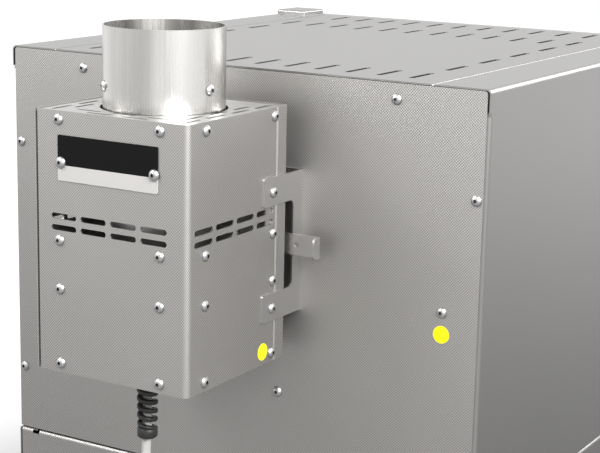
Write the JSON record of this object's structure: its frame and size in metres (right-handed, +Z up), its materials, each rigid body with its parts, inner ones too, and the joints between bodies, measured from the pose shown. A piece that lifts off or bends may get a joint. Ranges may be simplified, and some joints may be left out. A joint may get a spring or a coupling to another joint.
{
  "type": "muffle furnace",
  "caption": "Bench muffle furnace with a flap door, a ceramic-lined chamber, a controller and a fan-assisted exhaust box with chimney on its rear wall.",
  "frame": {"origin": "on the floor under the middle of the whole furnace, from the door handle to the exhaust box", "axes": "+Z up, +Y towards the exhaust box at the rear, +X to the right as seen from the door"},
  "size_m": [0.44, 0.7042, 0.557],
  "materials": {
    "structured_steel": "structured stainless sheet, satin",
    "satin_steel": "satin",
    "door_steel": "structured stainless sheet, satin",
    "brushed_tube": "brushed along its length",
    "screw_steel": "bright",
    "foot_rubber": "matt",
    "fibre": "matt fibre board",
    "ceramic": "fired ceramic, matt",
    "heating_alloy": "oxidised wire",
    "black_plastic": "matt",
    "green_key": "matt",
    "red_key": "matt",
    "display_glass": "clear",
    "probe_head": "cast",
    "motor_steel": "satin",
    "electronics": "anodised",
    "plate_print": "satin print, blank",
    "cable_sheath": "satin"
  },
  "bodies": {
    "housing": {"base_deck": "satin_steel", "base_pan": "satin_steel", "base_rear_panel": "structured_steel", "bend_relief": "black_plastic", "box_body": "structured_steel", "box_bottom_plate": "satin_steel", "box_brackets": "structured_steel", "box_cover": "structured_steel", "box_top_plate": "satin_steel", "cable_gland": "black_plastic", "cable_plug": "black_plastic", "chamber_collar": "fibre", "chimney_tube": "brushed_tube", "control_panel": "structured_steel", "corner_caps": "satin_steel", "damper_guides": "structured_steel", "display_glass": "display_glass", "display_unit": "black_plastic", "exhaust_liner": "ceramic", "exhaust_port": "satin_steel", "fan_cable": "cable_sheath", "fan_motor": "motor_steel", "fan_socket": "black_plastic", "feet": "foot_rubber", "floor_plate": "ceramic", "front_frame": "structured_steel", "fuse_holders": "black_plastic", "heating_plates": "ceramic", "heating_wires": "heating_alloy", "hinge_brackets": "satin_steel", "inner_casing": "satin_steel", "insulation_bottom": "fibre", "insulation_rear": "fibre", "insulation_sides": "fibre", "insulation_top": "fibre", "mains_inlet": "black_plastic", "mixing_duct": "satin_steel", "nameplate": "plate_print", "panel_screws": "screw_steel", "power_electronics": "electronics", "rear_panel": "structured_steel", "rocker_bezel": "black_plastic", "side_panel_left": "satin_steel", "side_panel_right": "satin_steel", "terminal_blocks": "ceramic", "thermocouple": "probe_head", "top_cover": "satin_steel"},
    "door": {"door_shell": "door_steel", "door_insulation": "fibre", "door_liner": "satin_steel", "door_hinge_bushes": "satin_steel", "door_handle": "satin_steel"},
    "air_valve": {"air_slide": "satin_steel"},
    "damper": {"damper_slide": "structured_steel"},
    "fan": {"fan_impeller": "black_plastic"},
    "knob": {"jog_knob": "black_plastic"},
    "start_button": {"start_key": "green_key"},
    "stop_button": {"stop_key": "red_key"},
    "rocker": {"power_rocker": "black_plastic"}
  },
  "joints": [
    {"name": "door_hinge", "type": "hinge", "parent": "housing", "child": "door", "pos_m": [0, -0.3011, 0.198], "axis": [1, 0, 0], "range_deg": [0, 90]},
    {"name": "air_slide", "type": "slide", "parent": "door", "child": "air_valve", "axis": [1, 0, 0], "range_m": [0, 0.012]},
    {"name": "damper_slide", "type": "slide", "parent": "housing", "child": "damper", "axis": [-1, 0, 0], "range_m": [0, 0.05]},
    {"name": "fan_spin", "type": "hinge", "parent": "housing", "child": "fan", "pos_m": [0.0025, 0.2829, 0.34], "axis": [0, 0, 1], "continuous": true},
    {"name": "knob_turn", "type": "hinge", "parent": "housing", "child": "knob", "pos_m": [0.176, -0.2611, 0.1], "axis": [0, -1, 0], "continuous": true},
    {"name": "start_press", "type": "slide", "parent": "housing", "child": "start_button", "axis": [0, 1, 0], "range_m": [0, 0.0015]},
    {"name": "stop_press", "type": "slide", "parent": "housing", "child": "stop_button", "axis": [0, 1, 0], "range_m": [0, 0.0015]},
    {"name": "power_tilt", "type": "hinge", "parent": "housing", "child": "rocker", "pos_m": [-0.16, -0.2571, 0.104], "axis": [-1, 0, 0], "range_deg": [0, 14]}
  ]
}
